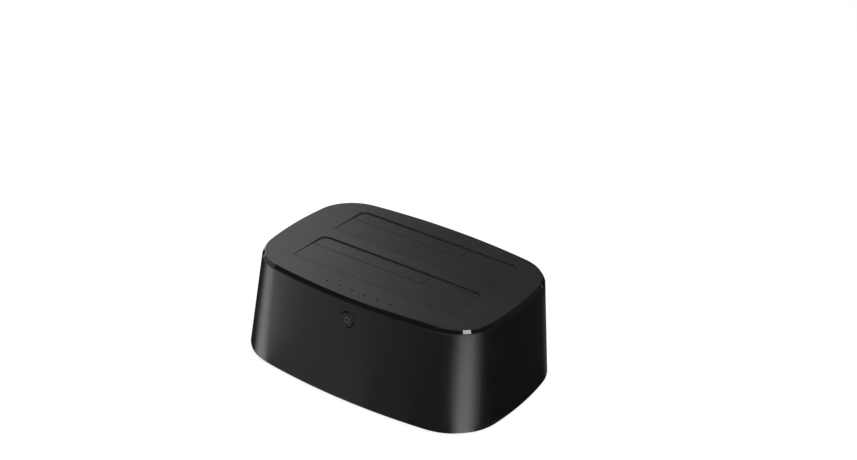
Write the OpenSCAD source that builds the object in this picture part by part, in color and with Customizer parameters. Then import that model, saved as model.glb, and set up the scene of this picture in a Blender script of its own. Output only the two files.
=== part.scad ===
// Two-bay docking station for bare drives.
// A flared housing carries a deck with two bays. Each bay is shut by a sprung door and a sprung flap,
// and holds an upright drive connector on the main board below.
// Millimetres, +Z up, front towards -Y, origin on the table under the middle of the base.

/* [Housing] */
// width across the base
body_w = 160.6; // [150:0.2:190]
// depth across the base
body_d = 112.2; // [106:0.2:140]
// height from the table to the deck
body_h = 60; // [54:0.5:80]
// radius of the bowed left and right ends, at the base
end_r = 196; // [120:1:300]
// radius of the bowed front and back, at the base
side_r = 348; // [240:1:700]
// radius of the four corners, at the base
corner_r = 32; // [20:0.2:40]
// how far the wall leans in from the base to the rim
wall_lean = 6; // [2:0.1:8]
// wall thickness of the housing
wall_t = 2.4; // [1.8:0.1:3]
// height of the housing's edge above the table
foot_lift = 1.3; // [0.8:0.1:2.5]
// height of the small chamfer on the housing's lower edge
hem_h = 1.2; // [0.6:0.1:2]
// width of the small chamfer on the housing's lower edge
hem_w = 0.8; // [0.4:0.1:1.4]
// thickness of the lip that stands outside the trim ring
rim_lip = 1.2; // [0.8:0.1:1.6]
// depth of the step behind the lip
rim_step = 1.2; // [0.8:0.1:2]

/* [Trim and deck] */
// height of the glossy bevel round the deck
bevel_h = 2.2; // [1.8:0.1:4.5]
// width of the glossy bevel round the deck
bevel_w = 1.45; // [1:0.05:2.4]
// width of the trim ring's flat top edge
trim_land = 0.4; // [0.3:0.05:1]
// width of the ledge the deck rests on
trim_ledge = 1.6; // [1.2:0.1:3]
// how far the trim ring reaches down inside the housing
trim_spigot = 3; // [2:0.1:5]
// clearance of the trim ring in the housing's step and round the deck
trim_gap = 0.15; // [0.1:0.05:0.3]
// deck thickness
deck_t = 1.2; // [1:0.1:2.2]
// centre-to-centre distance of the indicator pinholes
lamp_pitch = 8; // [5:0.1:9]
// number of indicators
lamp_count = 6; // [2:2:6]
// diameter of an indicator pinhole
lamp_d = 1.3; // [1:0.1:2]
// distance of the indicators from the deck's front edge
lamp_back = 7.05; // [5:0.05:8]

/* [Bays] */
// width of a bay opening
bay_w = 103; // [102.4:0.1:106]
// front-to-back size of a bay opening
bay_d = 28; // [27:0.1:30]
// distance between the two bays
bay_pitch = 37.5; // [37:0.1:40]
// how far the pair of bays sits behind the middle
bay_back = 2.6; // [0.5:0.05:3]
// radius of a bay opening's rear corners
bay_corner_r = 4; // [2:0.5:6]
// side pocket between a bay opening and the cage wall
bay_side = 1.5; // [1.2:0.1:2.5]
// cage wall thickness
cage_t = 2; // [1.6:0.1:2.6]
// cage floor thickness
floor_t = 1.8; // [1.4:0.1:2.4]
// height of the seat pads on the cage floor
seat_h = 2.5; // [1.5:0.1:3]
// width of a seat pad
seat_w = 6; // [4:0.5:9]
// width of a guide rib
rib_w = 2; // [1.2:0.1:3]
// height of a guide rib
rib_h = 15; // [8:0.5:20]
// distance of the outer guide ribs from the bay's ends
rib_in = 7.5; // [6:0.5:10]
// distance between two guide ribs
rib_pitch = 16; // [12:0.5:18]
// width of a hinge lug
lug_w = 2.6; // [2:0.1:3.4]
// distance of the door's hinge lugs from the middle
lug_x = 16; // [12:0.5:24]
// distance between the two cage ears of a side
ear_pitch = 28; // [20:0.5:36]
// distance of the cage ears below the deck's top
ear_drop = 9.5; // [7:0.1:12]
// thickness of a cage ear
ear_t = 3; // [2:0.1:4]
// radius of the deck's bosses over the ears
ear_r = 2.6; // [2.2:0.1:3]

/* [Doors and flaps] */
// thickness of a door or flap
leaf_t = 1.8; // [1.5:0.1:2.2]
// gap between a leaf and its neighbours
leaf_gap = 0.3; // [0.25:0.05:0.5]
// gap between the tucked edge of a leaf and the underside of the deck
stop_gap = 0.3; // [0.3:0.05:0.6]
// depth of the step along the edge of a leaf that is tucked under the deck
tuck_step = 0.8; // [0.5:0.05:1]
// width of a flap
flap_w = 71.4; // [70.6:0.1:76]
// front-to-back size of a flap
flap_d = 10.3; // [9.8:0.1:13]
// distance of a door's hinge in front of its edge
door_back = 3; // [2.9:0.1:3.4]
// distance of a door's hinge below its top face
door_deep = 3.7; // [3.6:0.1:4.2]
// distance of a flap's hinge behind the bay's rear edge
flap_tuck = 2.45; // [1.6:0.05:2.6]
// distance of a flap's hinge below its top face
flap_deep = 1.95; // [1.15:0.05:2.1]
// outer radius of a hinge barrel
barrel_r = 1.1; // [1:0.05:1.2]
// hinge pin radius
pin_r = 0.6; // [0.5:0.05:0.65]
// radial running clearance on a hinge pin
run_gap = 0.05; // [0.03:0.01:0.1]
// wire radius of a torsion spring
wire_r = 0.22; // [0.15:0.01:0.25]
// mean coil radius of a torsion spring
coil_r = 1.05; // [1:0.01:1.1]
// turns of a torsion spring
coil_turns = 4; // [3:1:6]
// length of a spring's leg along its leaf
leg_l = 6; // [4:0.5:9]
// length of a door spring's leg along the cage wall
leg_back = 7; // [4:0.5:10]
// length of a flap spring's leg under the deck
leg_short = 1.2; // [0.8:0.1:1.6]
// distance of the door springs from the middle
spring_x = 33; // [26:0.5:36]
// left-to-right place of the flap spring
flap_spring_x = -17.5; // [-24:0.5:10]
// width of the notch for the flap spring
spring_room = 7; // [5:0.1:9]
// width of a door knuckle
knuckle_w = 12; // [8:0.5:16]
// thickness of a door knuckle's arm
arm_t = 1.6; // [1.2:0.1:2]
// reach of a flap's stop tab under the deck
tab_w = 1; // [0.6:0.1:1.2]
// length of a flap's stop tab
tab_l = 3.5; // [2:0.1:6]

/* [Button] */
// button diameter
button_d = 8.4; // [7:0.1:10]
// height of the button's centre below the deck
button_drop = 11.9; // [11:0.1:16]
// gap round the button
button_gap = 0.3; // [0.2:0.05:0.5]
// button travel
button_travel = 0.6; // [0.4:0.05:0.8]
// how far the button stands out of the wall
button_proud = 0.3; // [0.1:0.05:0.6]
// width of the flange that holds the button in
button_flange = 1; // [0.6:0.1:1.6]
// radius of the button's stem
stem_r = 1.5; // [1:0.1:2]

/* [Boards] */
// main board width
board_w = 95; // [88:1:104]
// circuit board thickness
board_t = 1.6; // [1:0.1:1.8]
// gap between the cage floor and the main board
board_gap = 2; // [1.5:0.1:3]
// how far a drive connector stands above the seat pads
plug_h = 4; // [3:0.1:5]
// left-to-right place of the drive connectors
plug_x = -20; // [-24:0.5:-16]
// length of a drive connector
plug_w = 42; // [41:0.5:46]
// thickness of a drive connector
plug_d = 6; // [5.4:0.1:6.6]
// distance of a drive connector's centre from the bay's rear edge
plug_back = 3.8; // [3.6:0.1:4.4]
// ribbon cable width
ribbon_w = 12; // [8:0.5:16]
// ribbon cable thickness
ribbon_t = 0.6; // [0.4:0.1:0.8]
// how far the ribbon cable bows forwards
ribbon_bow = 2; // [0:0.1:3]
// height of the main board's cable header
header_h = 3; // [2.4:0.1:4]
// depth of a cable header
header_d = 2.2; // [1.8:0.1:3]
// front board width
panel_w = 56; // [50:1:64]
// front board thickness
panel_t = 1.2; // [0.8:0.1:1.6]
// reach of the front board below the button's centre
panel_down = 8; // [6:0.1:10]
// reach of the front board above the button's centre
panel_up = 5.5; // [4:0.1:7]
// front board's screws from the middle
panel_post_x = 22; // [18:0.5:24]
// height of the tact switch on the front board
tact_d = 2.4; // [1.8:0.1:3]
// width of the tact switch
tact_w = 6; // [5:0.1:7]
// width of a lamp
lamp_w = 2.8; // [2:0.1:3.6]
// height of a lamp
lamp_h = 2; // [1.2:0.1:2.6]
// thickness of the light pipe's bar
pipe_d = 2.2; // [1.6:0.1:2.6]
// pitch of the connector contacts
contact_pitch = 1.27; // [1.2:0.01:1.3]
// width of a connector contact
contact_w = 0.7; // [0.5:0.05:0.9]
// thickness of a connector contact
contact_t = 0.45; // [0.3:0.05:0.6]
// width of the slots in a drive connector
slot_d = 2.4; // [2:0.1:3]
// depth of the slots in a drive connector
slot_deep = 6; // [5:0.1:7]
// end wall of a drive connector
plug_wall = 2.4; // [1.6:0.1:3]
// width of the bridge chip
chip_w = 12; // [8:0.5:14]
// height of the bridge chip
chip_h = 1.4; // [0.8:0.1:2]
// capacitor radius
can_r = 3.15; // [2:0.05:4]
// capacitor height
can_h = 7.2; // [5:0.1:9]
// width of an inductor
choke_w = 7; // [5:0.1:9]
// height of an inductor
choke_h = 4; // [2.5:0.1:5]

/* [Ports] */
// how far the flat port face lies inside the housing's back
port_sink = 3.7; // [3:0.1:5]
// width of the flat port face
port_face_w = 72; // [68:1:90]
// height of the flat port face
port_face_h = 13.2; // [12:0.1:16]
// gap between the base plate and the ports
port_lift = 3.8; // [1:0.1:6]
// clearance of a port in its cutout
port_gap = 0.3; // [0.2:0.05:0.6]
// data port width
data_w = 12; // [11.6:0.1:13]
// data port height
data_h = 11.4; // [11:0.1:12]
// data port length
data_l = 16; // [15:0.1:16.6]
// data port centre, left to right
data_x = 8; // [4:0.5:10]
// sheet thickness of the data port's shell
data_t = 0.5; // [0.3:0.05:0.8]
// depth of the data port's mouth
data_deep = 9; // [7:0.1:12]
// power jack centre, left to right
jack_x = 27; // [25:0.5:29]
// power jack bore diameter
jack_d = 6.2; // [5.8:0.1:6.6]
// power jack pin diameter
jack_pin_d = 2.1; // [1.6:0.1:2.5]
// wall round the power jack's bore
jack_t = 1.2; // [0.8:0.1:2]
// length of the power jack's body
jack_l = 11.5; // [10:0.1:14]
// depth of the power jack's bore
jack_deep = 9.7; // [9:0.1:11]
// power switch centre, left to right
switch_x = -20; // [-26:0.5:-16]
// width of the power switch's body
switch_w = 13; // [11:0.1:16]
// height of the power switch's body
switch_h = 8.6; // [8:0.1:10]
// length of the power switch's body
switch_l = 11; // [9:0.1:14]
// width of the rim round the power switch
switch_rim = 1.3; // [0.8:0.1:2]
// wall round the switch rocker
switch_wall = 0.9; // [0.6:0.1:1.4]
// gap round the switch rocker
rocker_gap = 0.6; // [0.4:0.05:1]
// half the swing of the switch rocker, in degrees
rock_half = 7; // [4:0.5:8]

/* [Base and screws] */
// base plate thickness
base_t = 2.2; // [2:0.1:2.8]
// gap round the base plate
base_gap = 0.35; // [0.2:0.05:0.6]
// rubber foot radius
foot_r = 6; // [5:0.1:7]
// depth of the recess that holds a foot
foot_sink = 0.8; // [0.6:0.1:1]
// chamfer on a foot's lower edge
foot_bevel = 0.5; // [0.2:0.1:0.8]
// distance of a foot's centre from the housing's left or right end
foot_in_x = 29.3; // [24:0.1:34]
// distance of a foot's centre from the housing's front or back
foot_in_y = 16.9; // [14:0.1:20]
// distance of a case post's centre from the middle, front and back
post_y = 26; // [20:0.5:27]
// gap between a case post and the main board
post_gap = 0.6; // [0.4:0.1:1.5]
// case post radius
post_r = 3.4; // [2.8:0.1:4]
// case screw shank radius
screw_r = 1.2; // [1:0.05:1.4]
// case screw head radius
head_r = 2.5; // [2.2:0.1:2.8]
// case screw head height
head_h = 1.1; // [0.9:0.05:1.2]
// board screw shank radius
bolt_r = 0.8; // [0.6:0.05:1]
// board screw head radius
bolt_head_r = 1.9; // [1.5:0.1:2.2]
// board screw head height
bolt_head_h = 1; // [0.6:0.1:1.4]
// width of a vent slot in the base
vent_w = 2.4; // [1.6:0.1:3]
// length of a vent slot in the base
vent_l = 32; // [20:1:40]
// distance between two vent slots
vent_pitch = 6; // [5:0.1:8]
// number of vent slots
vent_count = 11; // [5:2:11]

/* [Hidden] */
$fn = 40;
eps = 0.5;
end_steps = 5;
corner_steps = 14;
side_steps = 6;

// levels
deck_z = body_h - deck_t;
rim_z = body_h - bevel_h;
base_z = foot_lift + 0.2;
base_top = base_z + base_t;
lean_per_mm = wall_lean / (rim_z - foot_lift);
wall_tilt = atan(lean_per_mm);
deck_edge = wall_lean + bevel_w;
trim_inner = deck_edge + trim_land;

// leaf plane of a bay, measured from the door's front top edge
leaf_run = bay_d - leaf_gap;
slope = atan((deck_t + stop_gap - tuck_step) / leaf_run);
flap_axis_u = leaf_run + flap_tuck;
split_u = leaf_run - flap_d;
flap_left = -bay_w / 2 + leaf_gap;
flap_right = flap_left + flap_w;
spring_r = coil_r + wire_r;
pocket_gap = spring_r + 0.35;
door_tip_u = leaf_run + 0.7;
lug_left = flap_right + 2 * leaf_gap;

// bays: index 0 is the front one
bay_front = [bay_back - bay_pitch / 2 - bay_d / 2, bay_back + bay_pitch / 2 - bay_d / 2];
door_axis = [for (b = [0, 1]) in_bay(b, -door_back, -door_deep)];
flap_axis = [for (b = [0, 1]) in_bay(b, flap_axis_u, -flap_deep)];
shaft_y0 = [for (b = [0, 1]) door_axis[b][0] - pocket_gap];
shaft_y1 = [for (b = [0, 1]) flap_axis[b][0] + pocket_gap];

// cage and boards
cage_w = bay_w + 2 * (bay_side + cage_t);
cage_y0 = shaft_y0[0] - cage_t;
cage_y1 = shaft_y1[1] + cage_t;
port_y = body_d / 2 - port_sink;
port_z = base_top + port_lift + data_h / 2;
board_z = base_top + port_lift + data_h;
board_top = board_z + board_t;
floor_z = board_top + board_gap + floor_t;
board_y0 = cage_y0 - 4;
board_y1 = port_y - 7.2;
plug_top = floor_z + seat_h + plug_h;
slot_x = [plug_x - plug_w / 2 + plug_wall, plug_x - plug_w / 2 + plug_wall + 2 * slot_d + 5 * contact_pitch,
    plug_x + plug_w / 2 - plug_wall - 2 * slot_d - 13.7 * contact_pitch, plug_x + plug_w / 2 - plug_wall];
ear_x = cage_w / 2 + ear_r + 0.6;
ear_y = [bay_back - ear_pitch / 2, bay_back + ear_pitch / 2];
ear_z = body_h - ear_drop;
post_x = board_w / 2 + post_gap + post_r;
post_hole = floor_z - floor_t - base_top - 4;
foot_x = body_w / 2 - foot_in_x;
foot_y = body_d / 2 - foot_in_y;

// front board, lamps and button
lamp_y = -body_d / 2 + deck_edge + lamp_back;
lamp_x0 = -lamp_pitch * (lamp_count - 1) / 2;
button_z = body_h - button_drop;
button_y = -body_d / 2 + lean_at(button_z);
panel_y = cage_y0 - 1.2 - panel_t;
panel_z0 = button_z - panel_down;
panel_z1 = button_z + panel_up;
stem_end = (panel_y - tact_d - 1.25 - button_y) / cos(wall_tilt);

// ports
mouth_y = port_y - 0.4;
rocker_w = switch_w - 2 * switch_wall;
rocker_h = switch_h - 2 * switch_wall;

// lean of the wall at a height
function lean_at(z) = (z - foot_lift) * lean_per_mm;

// unit vector at an angle
function along(t) = [cos(t), sin(t)];

// plan outline of the housing: end, side and corner arcs that meet tangentially, moved inwards by inset
end_c = [body_w / 2 - end_r, 0];
side_c = [0, body_d / 2 - side_r];
centre_gap = norm(side_c - end_c);
reach_end = end_r - corner_r;
reach_side = side_r - corner_r;
reach_on = (reach_end * reach_end - reach_side * reach_side + centre_gap * centre_gap) / (2 * centre_gap);
reach_off = sqrt(reach_end * reach_end - reach_on * reach_on);
line_dir = (side_c - end_c) / centre_gap;
corner_c = end_c + reach_on * line_dir + reach_off * [-line_dir[1], line_dir[0]];
end_turn = atan2(corner_c[1] - end_c[1], corner_c[0] - end_c[0]);
side_turn = atan2(corner_c[1] - side_c[1], corner_c[0] - side_c[0]);
quarter_steps = end_steps + corner_steps + side_steps;

function quarter(inset) = concat(
    [for (k = [0 : end_steps - 1]) end_c + (end_r - inset) * along(end_turn * k / end_steps)],
    [for (k = [0 : corner_steps - 1])
        corner_c + (corner_r - inset) * along(end_turn + (side_turn - end_turn) * k / corner_steps)],
    [for (k = [0 : side_steps])
        side_c + (side_r - inset) * along(side_turn + (90 - side_turn) * k / side_steps)]);

function outline(inset) = let (q = quarter(inset), n = quarter_steps) concat(
    [for (k = [0 : n - 1]) q[k]],
    [for (k = [n : -1 : 1]) [-q[k][0], q[k][1]]],
    [for (k = [0 : n - 1]) -q[k]],
    [for (k = [n : -1 : 1]) [q[k][0], -q[k][1]]]);

// point of a bay's leaf plane as [y, z]: u runs rearwards down the plane, v stands on it
function in_bay(b, u, v) = [
    bay_front[b] + leaf_gap + u * cos(slope) + v * sin(slope),
    body_h - u * sin(slope) + v * cos(slope)];

// solid through stacked outlines, each level given as [height, inset]
module loft(levels) {
    n = 4 * quarter_steps;
    last = len(levels) - 1;
    points = [for (level = levels) each [for (p = outline(level[1])) [p[0], p[1], level[0]]]];
    sides = [for (j = [0 : last - 1]) each
        [for (i = [0 : n - 1]) [j * n + i, j * n + n + i, j * n + n + (i + 1) % n, j * n + (i + 1) % n]]];
    bottom = [for (i = [0 : n - 1]) i];
    top = [for (i = [n - 1 : -1 : 0]) last * n + i];
    polyhedron(points, concat([bottom, top], sides));
}

// straight-sided slab of the plan outline
module slab(z, h, inset) {
    translate([0, 0, z])
        linear_extrude(h)
            polygon(outline(inset));
}

// box given by its two corners
module block(low, high) {
    translate(low)
        cube(high - low);
}

// cylinder along X
module rod_x(x0, x1, yz, r) {
    translate([x0, yz[0], yz[1]])
        rotate([0, 90, 0])
            cylinder(h = x1 - x0, r = r);
}

// moves children into a bay's leaf plane
module leaf_frame(b) {
    translate([0, bay_front[b] + leaf_gap, body_h])
        rotate([-slope, 0, 0])
            children();
}

// places children on the button's axis, local +Z pointing out of the wall
module button_frame() {
    translate([0, button_y, button_z])
        rotate([90 - wall_tilt, 0, 0])
            children();
}

module at_posts() {
    for (x = [-post_x, post_x], y = [-post_y, post_y])
        translate([x, y, 0])
            children();
}

module at_ears() {
    for (x = [-ear_x, ear_x], y = ear_y)
        translate([x, y, 0])
            children();
}

module at_board_screws() {
    for (x = [-board_w / 2 + 5, board_w / 2 - 5], y = [cage_y0 + 5, cage_y1 - 3.2])
        translate([x, y, 0])
            children();
}

// housing

module housing_outside() {
    loft([[foot_lift, hem_w], [foot_lift + hem_h, lean_at(foot_lift + hem_h)], [rim_z, wall_lean]]);
}

module port_cutouts() {
    data_cut = [data_w / 2 + port_gap, data_h / 2 + port_gap];
    switch_cut = [switch_w / 2 + port_gap, switch_h / 2 + port_gap];
    deep = port_y - wall_t - eps;
    block([-port_face_w / 2, port_y, port_z - port_face_h / 2],
        [port_face_w / 2, body_d, port_z + port_face_h / 2]);
    block([data_x - data_cut[0], deep, port_z - data_cut[1]],
        [data_x + data_cut[0], body_d, port_z + data_cut[1]]);
    block([switch_x - switch_cut[0], deep, port_z - switch_cut[1]],
        [switch_x + switch_cut[0], body_d, port_z + switch_cut[1]]);
    translate([jack_x, port_y + eps, port_z])
        rotate([90, 0, 0])
            cylinder(h = wall_t + 2 * eps, r = jack_d / 2 + jack_t + port_gap);
}

module housing() {
    color([0.05, 0.05, 0.055])
    difference() {
        union() {
            difference() {
                housing_outside();
                loft([[foot_lift - eps, lean_at(foot_lift - eps) + wall_t],
                    [rim_z + eps, lean_at(rim_z + eps) + wall_t]]);
                slab(rim_z - rim_step, rim_step + eps, wall_lean + rim_lip);
            }
            intersection() {
                housing_outside();
                block([-port_face_w / 2 - wall_t, port_y - wall_t, base_top + port_gap],
                    [port_face_w / 2 + wall_t, body_d, port_z + port_face_h / 2 + wall_t]);
            }
        }
        port_cutouts();
        button_frame()
            translate([0, 0, -2 * wall_t])
                cylinder(h = 4 * wall_t, r = button_d / 2 + button_gap);
    }
}

// trim ring

module trim_ring() {
    color([0.03, 0.03, 0.03])
    difference() {
        union() {
            loft([[rim_z, wall_lean], [body_h, deck_edge]]);
            slab(rim_z - trim_spigot, trim_spigot + eps, wall_lean + wall_t + trim_gap);
            slab(rim_z - rim_step + trim_gap, rim_step, wall_lean + rim_lip + trim_gap);
        }
        slab(rim_z - trim_spigot - eps, body_h, trim_inner + trim_ledge);
        slab(deck_z, bevel_h, trim_inner);
    }
}

// deck

module bay_opening(b) {
    r = bay_corner_r;
    y0 = bay_front[b];
    y1 = y0 + bay_d;
    union() {
        translate([-bay_w / 2, y0])
            square([bay_w, bay_d - r]);
        translate([-bay_w / 2 + r, y0])
            square([bay_w - 2 * r, bay_d]);
        for (x = [-bay_w / 2 + r, bay_w / 2 - r])
            translate([x, y1 - r])
                circle(r);
    }
}

module deck() {
    color([0.16, 0.16, 0.17])
    difference() {
        union() {
            slab(deck_z, deck_t, trim_inner + trim_gap);
            at_ears()
                translate([0, 0, ear_z])
                    cylinder(h = deck_z - ear_z + eps, r = ear_r);
        }
        for (b = [0, 1])
            translate([0, 0, deck_z - eps])
                linear_extrude(deck_t + 2 * eps)
                    bay_opening(b);
        for (k = [0 : lamp_count - 1])
            translate([lamp_x0 + k * lamp_pitch, lamp_y, deck_z - eps])
                cylinder(h = deck_t + 2 * eps, d = lamp_d);
        at_ears()
            translate([0, 0, ear_z - eps])
                cylinder(h = deck_z - ear_z - 1.2, r = screw_r + 0.05);
    }
}

// drive cage

module cage_walls() {
    difference() {
        block([-cage_w / 2, cage_y0, floor_z - floor_t], [cage_w / 2, cage_y1, deck_z]);
        for (b = [0, 1]) {
            block([-bay_w / 2 - bay_side, shaft_y0[b], floor_z],
                [bay_w / 2 + bay_side, shaft_y1[b], deck_z + eps]);
            y = bay_front[b] + bay_d - plug_back;
            block([plug_x - plug_w / 2 - 1, y - plug_d / 2 - 1, 0],
                [plug_x + plug_w / 2 + 1, y + plug_d / 2 + 1, floor_z + eps]);
        }
    }
}

module hinge_lugs(b) {
    d = door_axis[b];
    f = flap_axis[b];
    for (x = [-lug_x, lug_x])
        block([x - lug_w / 2, shaft_y0[b] - eps, d[1] - 1.5], [x + lug_w / 2, d[0] + 1, d[1] + 1.2]);
    block([lug_left, f[0] - 1, f[1] - 1.5], [lug_left + lug_w, shaft_y1[b] + eps, f[1] + 1.2]);
}

module guide_ribs(b) {
    y1 = bay_front[b] + bay_d;
    mid = bay_front[b] + bay_d / 2;
    rib_top = floor_z + rib_h;
    rib_x = bay_w / 2 - rib_in;
    for (x = [-rib_x, rib_x - 2 * rib_pitch, rib_x - rib_pitch, rib_x])
        block([x - rib_w / 2, y1 + 0.2, floor_z - eps], [x + rib_w / 2, shaft_y1[b] + eps, rib_top]);
    for (y = [mid - bay_d / 6, mid + bay_d / 3]) {
        block([-bay_w / 2 - bay_side - eps, y - rib_w / 2, floor_z - eps],
            [-bay_w / 2 - 0.2, y + rib_w / 2, rib_top]);
        block([bay_w / 2 + 0.2, y - rib_w / 2, floor_z - eps],
            [bay_w / 2 + bay_side + eps, y + rib_w / 2, rib_top]);
    }
    for (x = [-bay_w / 2 + seat_w / 2 + 1, rib_x - 1.5 * rib_pitch, rib_x - 0.5 * rib_pitch])
        block([x - seat_w / 2, mid - 4, floor_z - eps], [x + seat_w / 2, y1 - 0.5, floor_z + seat_h]);
}

module drive_cage() {
    color([0.12, 0.12, 0.13])
    difference() {
        union() {
            cage_walls();
            for (b = [0, 1]) {
                hinge_lugs(b);
                guide_ribs(b);
            }
            at_board_screws()
                translate([0, 0, board_top])
                    cylinder(h = board_gap + eps, r = 3);
            at_posts()
                translate([0, 0, base_top])
                    cylinder(h = floor_z - floor_t - base_top + eps, r = post_r);
            for (x = [-panel_post_x, panel_post_x])
                translate([x, cage_y0 + eps, button_z - 3])
                    rotate([90, 0, 0])
                        cylinder(h = cage_y0 - panel_y - panel_t + eps, r = 2.4);
            for (side = [-1, 1], y = ear_y)
                mirror([side < 0 ? 1 : 0, 0, 0])
                    block([cage_w / 2 - eps, y - ear_r - eps, ear_z - ear_t],
                        [ear_x + ear_r, y + ear_r + eps, ear_z]);
        }
        for (b = [0, 1]) {
            rod_x(-cage_w / 2 - eps, cage_w / 2 + eps, door_axis[b], pin_r + run_gap);
            rod_x(-cage_w / 2 - eps, lug_left + lug_w + eps, flap_axis[b], pin_r + run_gap);
        }
        at_ears()
            translate([0, 0, ear_z - ear_t - eps])
                cylinder(h = ear_t + 2 * eps, r = screw_r + 0.2);
        at_board_screws()
            translate([0, 0, board_top - eps])
                cylinder(h = board_gap + floor_t, r = bolt_r + 0.05);
        at_posts()
            translate([0, 0, base_top - eps])
                cylinder(h = post_hole + eps, r = screw_r + 0.05);
        for (x = [-panel_post_x, panel_post_x])
            translate([x, cage_y0 + 1, button_z - 3])
                rotate([90, 0, 0])
                    cylinder(h = 5, r = bolt_r + 0.05);
    }
}

// doors and flaps

module knuckle(x0, x1) {
    block([x0, -door_back, -door_deep - arm_t / 2], [x1, arm_t, -door_deep + arm_t / 2]);
    block([x0, 0, -door_deep - arm_t / 2], [x1, arm_t, -leaf_t + eps]);
    rod_x(x0, x1, [-door_back, -door_deep], barrel_r);
}

module bay_door(b) {
    x1 = bay_w / 2 - leaf_gap;
    r = bay_corner_r - leaf_gap;
    rear = leaf_run - leaf_gap;
    color([0.15, 0.15, 0.16])
    leaf_frame(b)
        difference() {
            union() {
                block([-x1, 0, -leaf_t], [x1, split_u - leaf_gap, 0]);
                block([flap_right + leaf_gap, 0, -leaf_t], [x1, rear - r, 0]);
                block([flap_right + leaf_gap, 0, -leaf_t], [x1 - r, rear, 0]);
                translate([x1 - r, rear - r, -leaf_t])
                    cylinder(h = leaf_t, r = r);
                block([flap_right + 6, rear - 1, -leaf_t], [x1 - 6, door_tip_u, -tuck_step]);
                knuckle(-x1 + 1, -x1 + 1 + knuckle_w);
                knuckle(-knuckle_w / 2, knuckle_w / 2);
                knuckle(x1 - 1 - knuckle_w, x1 - 1);
            }
            rod_x(-x1 - eps, x1 + eps, [-door_back, -door_deep], pin_r + run_gap);
        }
}

module front_door() {
    bay_door(0);
}

module rear_door() {
    bay_door(1);
}

module bay_flap(b) {
    r = bay_corner_r - leaf_gap;
    rear = leaf_run - leaf_gap;
    color([0.15, 0.15, 0.16])
    leaf_frame(b)
        difference() {
            union() {
                block([flap_left, split_u, -leaf_t], [flap_right, rear - r, 0]);
                block([flap_left + r, split_u, -leaf_t], [flap_right, rear, 0]);
                translate([flap_left + r, rear - r, -leaf_t])
                    cylinder(h = leaf_t, r = r);
                block([flap_left, rear - 1, -leaf_t], [flap_right, flap_axis_u, -tuck_step]);
                rod_x(flap_left, flap_right, [flap_axis_u, -flap_deep], barrel_r);
                block([flap_left - tab_w, split_u + eps, -leaf_t],
                    [flap_left + eps, split_u + eps + tab_l, -tuck_step - 0.2]);
            }
            rod_x(flap_left - eps, flap_right + eps, [flap_axis_u, -flap_deep], pin_r + run_gap);
            block([flap_spring_x - spring_room / 2, flap_axis_u - pocket_gap, -5 * barrel_r],
                [flap_spring_x + spring_room / 2, flap_axis_u + 5 * barrel_r, 5 * barrel_r]);
        }
}

module front_flap() {
    bay_flap(0);
}

module rear_flap() {
    bay_flap(1);
}

// hinge pins

module door_pins() {
    color([0.75, 0.75, 0.77])
    for (b = [0, 1])
        rod_x(-cage_w / 2 + 0.3, cage_w / 2 - 0.3, door_axis[b], pin_r);
}

module flap_pins() {
    color([0.75, 0.75, 0.77])
    for (b = [0, 1])
        rod_x(-cage_w / 2 + 0.3, lug_left + lug_w, flap_axis[b], pin_r);
}

// torsion spring along X about the middle x: a leg, a coil wound from angle a0 to a1 (falling), a leg;
// angles in the YZ plane
module torsion_spring(x, a0, a1, leg0, leg1) {
    steps = ceil((a0 - a1) / 36);
    rings = 6;
    lift = coil_turns * wire_r * 2.4 / steps;
    coil = [for (k = [0 : steps]) let (a = a0 + (a1 - a0) * k / steps)
        [x + (k - steps / 2) * lift, coil_r * cos(a), coil_r * sin(a)]];
    first = coil[0] - leg0 * [0, sin(a0), -cos(a0)];
    last = coil[steps] + leg1 * [0, sin(a1), -cos(a1)];
    path = concat([first], coil, [last]);
    n = len(path);
    points = [for (i = [0 : n - 1]) each
        let (step = path[min(i + 1, n - 1)] - path[max(i - 1, 0)],
            tangent = step / norm(step),
            across = cross(tangent, [1, 0, 0]) / norm(cross(tangent, [1, 0, 0])),
            up = cross(across, tangent))
        [for (j = [0 : rings - 1])
            path[i] + wire_r * (cos(j * 360 / rings) * across + sin(j * 360 / rings) * up)]];
    skin = [for (i = [0 : n - 2], j = [0 : rings - 1])
        [i * rings + j, i * rings + (j + 1) % rings, (i + 1) * rings + (j + 1) % rings, (i + 1) * rings + j]];
    start = [for (j = [rings - 1 : -1 : 0]) j];
    end = [for (j = [0 : rings - 1]) (n - 1) * rings + j];
    polyhedron(points, concat([start, end], skin));
}

module door_springs(b) {
    color([0.7, 0.7, 0.72])
    leaf_frame(b)
        for (x = [-spring_x, spring_x])
            translate([0, -door_back, -door_deep])
                torsion_spring(x, 180 + slope, 95 - 360 * coil_turns, leg_back, leg_l);
}

module front_door_springs() {
    door_springs(0);
}

module rear_door_springs() {
    door_springs(1);
}

module flap_springs(b) {
    rise = asin((flap_deep + coil_r - leaf_t - wire_r - 0.05) / leg_l);
    color([0.7, 0.7, 0.72])
    leaf_frame(b)
        translate([0, flap_axis_u, -flap_deep])
            torsion_spring(flap_spring_x, 0, -90 - rise - 360 * coil_turns, leg_short, leg_l);
}

module front_flap_spring() {
    flap_springs(0);
}

module rear_flap_spring() {
    flap_springs(1);
}

// main board

module main_board() {
    color([0.06, 0.25, 0.16])
    difference() {
        block([-board_w / 2, board_y0, board_z], [board_w / 2, board_y1, board_top]);
        at_board_screws()
            translate([0, 0, board_z - eps])
                cylinder(h = board_t + 2 * eps, r = bolt_r + 0.3);
    }
}

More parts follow.
